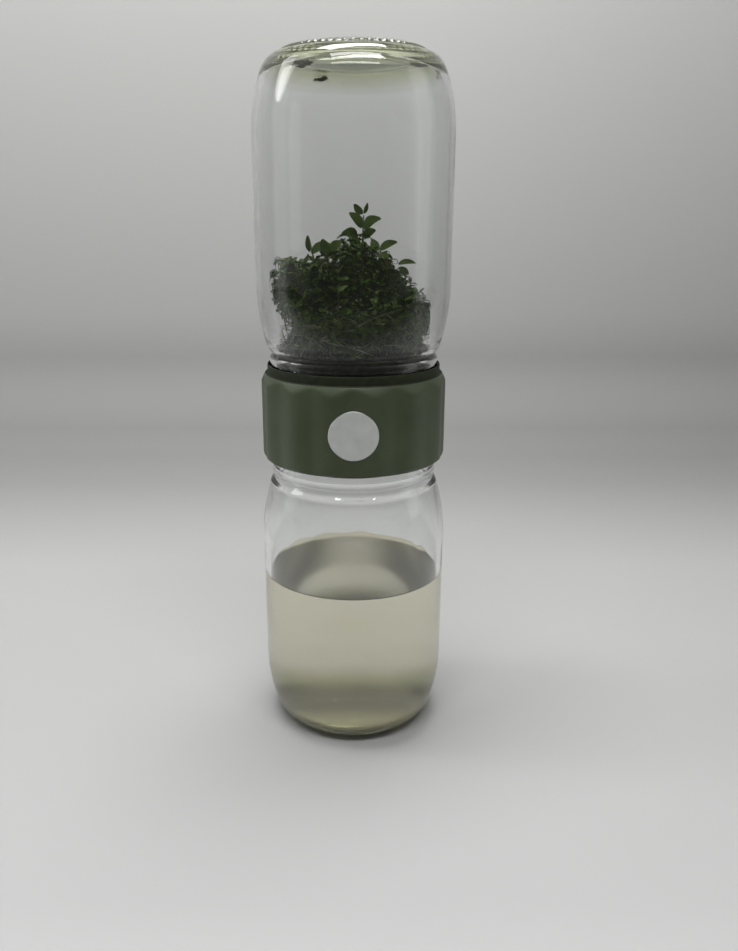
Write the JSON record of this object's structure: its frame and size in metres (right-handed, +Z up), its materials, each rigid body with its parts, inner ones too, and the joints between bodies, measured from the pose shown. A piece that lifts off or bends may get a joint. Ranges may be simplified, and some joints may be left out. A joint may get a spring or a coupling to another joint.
{
  "type": "hydroponic jar planter",
  "caption": "Tabletop planter: an inverted glass jar dome over a planted basket, screwed by a fluted collar onto a water jar.",
  "frame": {"origin": "centre of the reservoir's bearing ring, on the surface that the planter stands on", "axes": "+Z up along the common axis of both jars, -Y towards the front, where the badge is"},
  "size_m": [0.096, 0.096, 0.339],
  "materials": {
    "jar_glass": "polished",
    "water": "polished",
    "black_rubber": "matte",
    "collar_plastic": "satin",
    "badge_plastic": "satin",
    "basket_plastic": "satin",
    "felt": "matte",
    "soil": "matte",
    "straw": "matte",
    "moss": "matte",
    "leaf": "satin"
  },
  "bodies": {
    "reservoir": {"reservoir_jar": "jar_glass", "nutrient_water": "water"},
    "lower_seal": {"lower_gasket": "black_rubber"},
    "coupling": {"coupling_collar": "collar_plastic", "badge_disc": "badge_plastic"},
    "planter": {"filter_felt": "felt", "growing_medium": "soil", "moss_cushion_1": "moss", "moss_cushion_2": "moss", "moss_cushion_3": "moss", "moss_cushion_4": "moss", "moss_cushion_5": "moss", "moss_cushion_6": "moss", "moss_cushion_centre": "moss", "net_basket": "basket_plastic", "sprig_back": "leaf", "sprig_back_left": "leaf", "sprig_back_right": "leaf", "sprig_centre_back": "leaf", "sprig_centre_left": "leaf", "sprig_centre_right": "leaf", "sprig_front": "leaf", "sprig_front_left": "leaf", "sprig_inner_left": "leaf", "sprig_left_back": "leaf", "sprig_left_edge": "leaf", "sprig_left_low": "leaf", "sprig_right_low": "leaf", "sprig_right_mid": "leaf", "sprig_tall_centre": "leaf", "straw_mulch": "straw"},
    "neck_band": {"neck_ring": "black_rubber"},
    "rim_seal": {"upper_gasket": "black_rubber"},
    "dome": {"dome_jar": "jar_glass"}
  },
  "joints": [
    {"name": "collar_rise", "type": "slide", "parent": "reservoir", "child": "lower_seal", "axis": [0, 0, 1], "range_m": [0, 0.0127]},
    {"name": "collar_unscrew", "type": "hinge", "parent": "lower_seal", "child": "coupling", "pos_m": [0, 0, 0.1695], "axis": [0, 0, 1], "range_deg": [0, 720]},
    {"name": "basket_lift", "type": "slide", "parent": "coupling", "child": "planter", "axis": [0, 0, 1], "range_m": [0, 0.06]},
    {"name": "dome_lift", "type": "slide", "parent": "planter", "child": "neck_band", "axis": [0, 0, 1], "range_m": [0, 0.11]},
    {"name": "dome_rise", "type": "slide", "parent": "neck_band", "child": "rim_seal", "axis": [0, 0, 1], "range_m": [0, 0.0127]},
    {"name": "dome_unscrew", "type": "hinge", "parent": "rim_seal", "child": "dome", "pos_m": [0, 0, 0.259], "axis": [0, 0, 1], "range_deg": [0, 720]}
  ],
  "couplings": [
    {"joint": "collar_rise", "follows": "collar_unscrew", "m_per_rad": 0.0010106},
    {"joint": "dome_rise", "follows": "dome_unscrew", "m_per_rad": 0.0010106}
  ]
}
